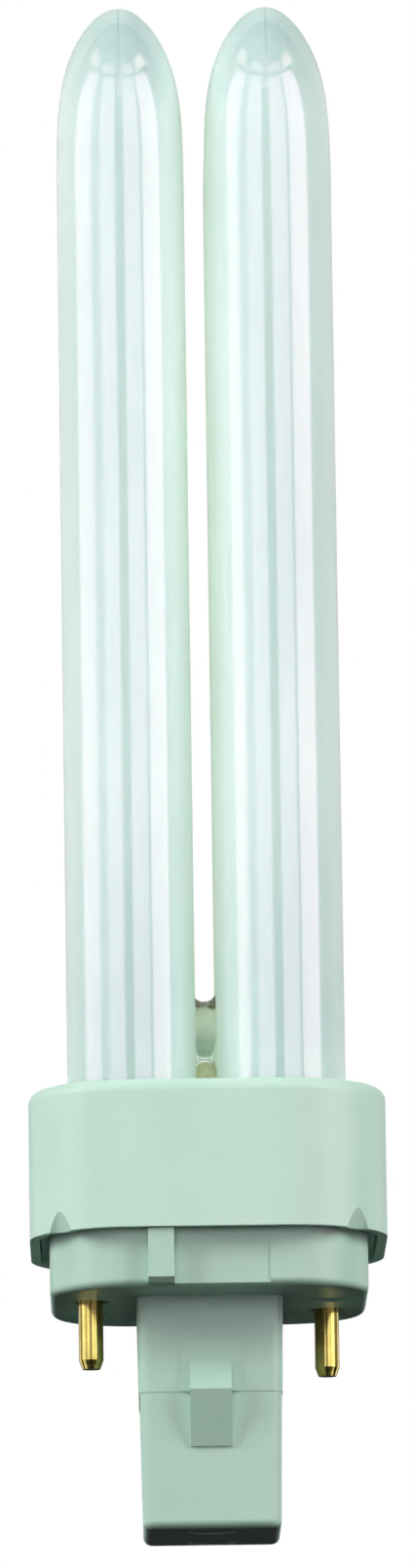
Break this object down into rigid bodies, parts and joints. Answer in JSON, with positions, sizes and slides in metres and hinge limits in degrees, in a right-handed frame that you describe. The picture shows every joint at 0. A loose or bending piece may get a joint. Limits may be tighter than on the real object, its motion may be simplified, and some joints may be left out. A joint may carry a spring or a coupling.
{
  "type": "compact fluorescent lamp",
  "caption": "Plug-in fluorescent lamp: U-bent glass tubes joined by a bridge, cemented into a moulded housing over a keyed cap with brass contact pins and a latch post.",
  "frame": {"origin": "middle of the cap's seat, between the contact pins, on the lamp's axis", "axes": "+Z along the tubes, away from the cap; -Y is the front, towards the picture's camera; +X to the right"},
  "size_m": [0.0346, 0.0346, 0.152],
  "materials": {
    "coated_glass": "clear glass with a white fluorescent coat inside, glossy outside",
    "housing_plastic": "pale green-white moulding, satin",
    "cap_plastic": "pale green-white moulding, satin",
    "cement": "olive yellow, rough",
    "pin_brass": "drawn brass",
    "lead_wire": "plain nickel-plated wire",
    "starter_glass": "clear glass",
    "capacitor_coat": "brown dipped coat"
  },
  "bodies": {
    "root": {"discharge_tube": "coated_glass", "tube_housing": "housing_plastic", "tube_cement": "cement", "base_cap": "cap_plastic", "contact_pin_left": "pin_brass", "contact_pin_right": "pin_brass", "starter_bulb": "starter_glass", "starter_capacitor": "capacitor_coat", "cathode_left": "lead_wire", "cathode_right": "lead_wire", "pin_lead_left": "lead_wire", "pin_lead_right": "lead_wire", "starter_lead_left": "lead_wire", "starter_lead_right": "lead_wire"}
  },
  "joints": []
}
